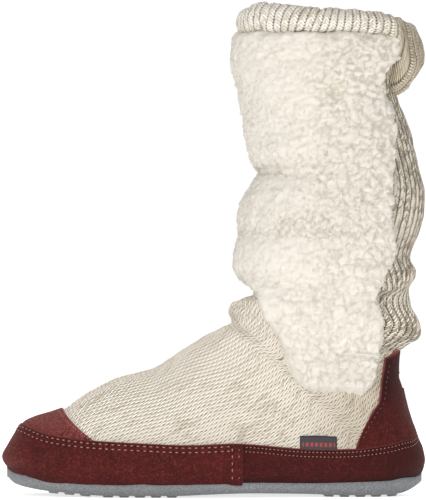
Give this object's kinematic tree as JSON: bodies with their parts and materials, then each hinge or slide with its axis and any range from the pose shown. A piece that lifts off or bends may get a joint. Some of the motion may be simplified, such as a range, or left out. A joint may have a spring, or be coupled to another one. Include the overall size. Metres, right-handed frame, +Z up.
{
  "type": "bootie slipper",
  "caption": "Left bootie slipper: lined knit foot, slouched shaft with a curly pile panel, rolled rib cuff, suede band, toe cap and heel counter on a moulded sole.",
  "frame": {"origin": "on the floor under the middle of the heel, on the heel's tread", "axes": "+Z up, the toe towards -X, the outer side of the foot towards -Y"},
  "size_m": [0.2694, 0.105, 0.3139],
  "materials": {
    "outsole": "matt moulded rubber with a fine speckle",
    "insole": "plush footbed",
    "knit": "marled wool knit",
    "suede": "brushed suede",
    "pile": "curly pile",
    "rib_knit": "marled wool rib",
    "lining": "short plush",
    "label": "woven tape"
  },
  "bodies": {
    "root": {"outsole": "outsole", "insole": "insole", "upper": "knit", "foxing_front": "suede", "foxing_rear": "suede", "toe_cap": "suede", "heel_counter": "suede", "fleece_panel": "pile", "cuff": "rib_knit", "lining_hem": "lining", "label": "label"}
  },
  "joints": []
}
